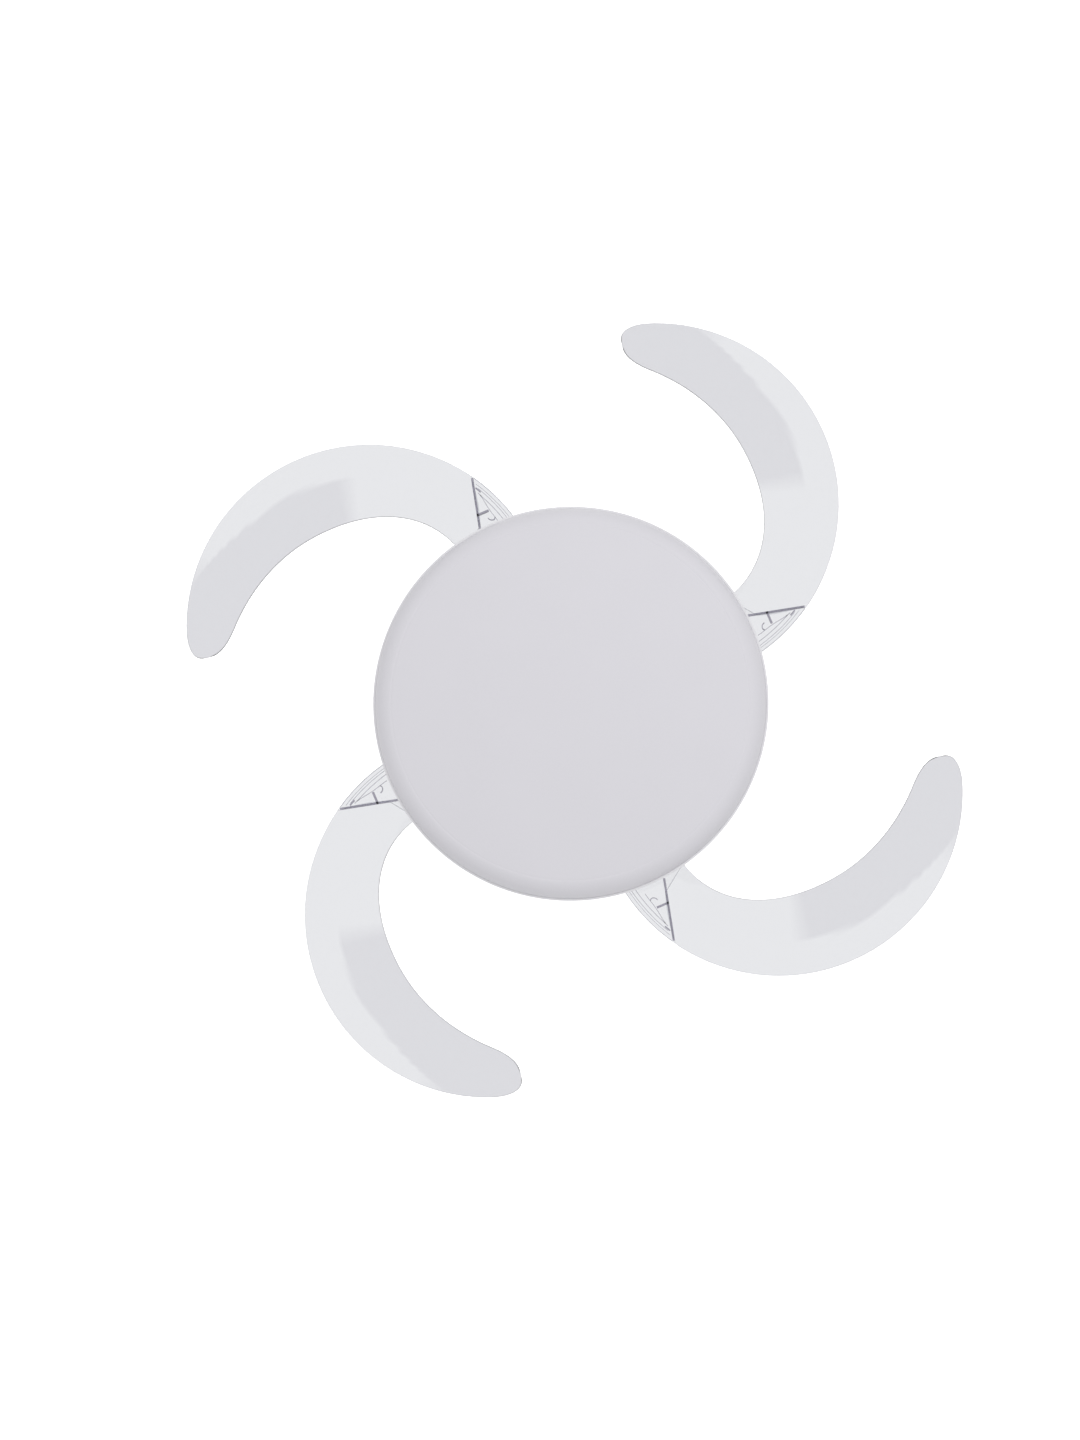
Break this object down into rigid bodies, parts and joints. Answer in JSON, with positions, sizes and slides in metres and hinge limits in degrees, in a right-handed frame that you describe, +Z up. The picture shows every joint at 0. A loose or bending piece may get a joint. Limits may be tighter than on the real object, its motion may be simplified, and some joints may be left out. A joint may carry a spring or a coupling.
{
  "type": "retractable blade ceiling fan",
  "caption": "Ceiling fan with a round frosted lamp below and clear crescent blades that swing out together on gears and fold away above the lamp.",
  "frame": {"origin": "middle of the upper face of the mounting bracket, which lies on the ceiling", "axes": "+Z up along the fan axis; seen from below with +X to the right, +Y points down the picture"},
  "size_m": [1.016, 1.016, 0.2285],
  "materials": {
    "steel": "zinc-plated",
    "brass": "turned",
    "aluminium": "die-cast",
    "lamination": "stamped sheets",
    "magnet": "sintered",
    "copper": "enamelled wire",
    "white_paint": "satin white",
    "white_plastic": "satin white",
    "gear_plastic": "moulded",
    "grey_plastic": "moulded",
    "board_white": "solder mask",
    "cable": "matt",
    "opal": "frosted",
    "clear_blade": "clear, polished"
  },
  "bodies": {
    "fixed_body": {"mounting_bracket": "steel", "hanging_stirrup": "steel", "shaft": "steel", "shaft_nut": "steel", "shaft_lock_nut": "steel", "lamp_nut": "steel", "canopy_screw_1": "steel", "canopy_screw_2": "steel", "thumb_screw_1": "steel", "thumb_screw_2": "steel", "thumb_screw_3": "steel", "diffuser_clip_1": "steel", "diffuser_clip_2": "steel", "diffuser_clip_3": "steel", "lamp_flange": "aluminium", "stator_core": "lamination", "winding_top": "copper", "winding_bottom": "copper", "lamp_pan": "white_paint", "trim_ring": "white_paint", "canopy": "white_plastic", "receiver_module": "white_plastic", "led_driver": "white_plastic", "terminal_block": "grey_plastic", "led_board": "board_white", "lamp_lead": "cable", "diffuser": "opal"},
    "rotor": {"rotor_top_shell": "aluminium", "rotor_bottom_shell": "aluminium", "magnet_ring": "magnet", "top_bearing": "steel", "bottom_bearing": "steel", "blade_carrier": "steel", "top_cover": "white_plastic", "pivot_pin_1": "steel", "pivot_pin_2": "steel", "pivot_pin_3": "steel", "pivot_pin_4": "steel", "return_spring_1": "steel", "return_spring_2": "steel", "return_spring_3": "steel", "return_spring_4": "steel"},
    "sync_ring": {"sync_gear": "gear_plastic"},
    "blade_arm_1": {"blade_1": "clear_blade", "blade_gear_1": "gear_plastic", "pivot_bush_1": "brass"},
    "blade_arm_2": {"blade_2": "clear_blade", "blade_gear_2": "gear_plastic", "pivot_bush_2": "brass"},
    "blade_arm_3": {"blade_3": "clear_blade", "blade_gear_3": "gear_plastic", "pivot_bush_3": "brass"},
    "blade_arm_4": {"blade_4": "clear_blade", "blade_gear_4": "gear_plastic", "pivot_bush_4": "brass"}
  },
  "joints": [
    {"name": "rotor_spin", "type": "hinge", "parent": "fixed_body", "child": "rotor", "pos_m": [0, 0, -0.114], "axis": [0, 0, 1], "continuous": true},
    {"name": "sync_turn", "type": "hinge", "parent": "rotor", "child": "sync_ring", "pos_m": [0, 0, -0.107], "axis": [0, 0, 1], "range_deg": [0, 23.32]},
    {"name": "blade_1_fold", "type": "hinge", "parent": "rotor", "child": "blade_arm_1", "pos_m": [0.08167, 0.18257, -0.113], "axis": [0, 0, 1], "range_deg": [-93.3, 0]},
    {"name": "blade_2_fold", "type": "hinge", "parent": "rotor", "child": "blade_arm_2", "pos_m": [-0.18257, 0.08167, -0.113], "axis": [0, 0, 1], "range_deg": [-93.3, 0]},
    {"name": "blade_3_fold", "type": "hinge", "parent": "rotor", "child": "blade_arm_3", "pos_m": [-0.08167, -0.18257, -0.113], "axis": [0, 0, 1], "range_deg": [-93.3, 0]},
    {"name": "blade_4_fold", "type": "hinge", "parent": "rotor", "child": "blade_arm_4", "pos_m": [0.18257, -0.08167, -0.113], "axis": [0, 0, 1], "range_deg": [-93.3, 0]}
  ],
  "couplings": [
    {"joint": "blade_1_fold", "follows": "sync_turn", "ratio": -4},
    {"joint": "blade_2_fold", "follows": "sync_turn", "ratio": -4},
    {"joint": "blade_3_fold", "follows": "sync_turn", "ratio": -4},
    {"joint": "blade_4_fold", "follows": "sync_turn", "ratio": -4}
  ]
}
